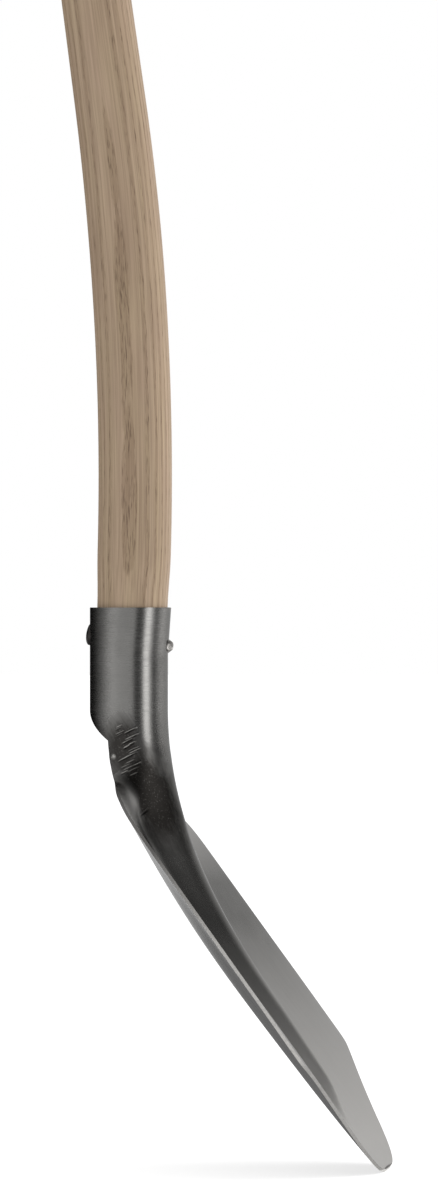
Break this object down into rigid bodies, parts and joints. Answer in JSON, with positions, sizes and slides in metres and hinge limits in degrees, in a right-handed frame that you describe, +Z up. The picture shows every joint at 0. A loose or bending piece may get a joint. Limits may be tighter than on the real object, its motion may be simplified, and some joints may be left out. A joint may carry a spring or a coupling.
{
  "type": "pointed shovel",
  "caption": "Long handled digging shovel: dished, pointed steel blade with a central ridge and an open-back socket, riveted to a bent round ash handle.",
  "frame": {"origin": "on the socket's axis, straight under its mouth, at the height of the blade's lowest point; the bounding box's bottom centre lies 4.5 mm behind it", "axes": "+Z up along the socket's axis towards the handle's butt, +X towards the side that the blade scoops with, +Y across the blade"},
  "size_m": [0.3071, 0.2486, 1.5551],
  "materials": {
    "blade_steel": "bare pressed steel, satin, with darker forming marks at the neck",
    "ash_wood": "sanded, unvarnished ash with straight grain and arched figure",
    "rivet_steel": "plain steel, dark domed head and bright hammered tail"
  },
  "bodies": {
    "root": {"blade": "blade_steel", "handle": "ash_wood", "rivet": "rivet_steel"}
  },
  "joints": []
}
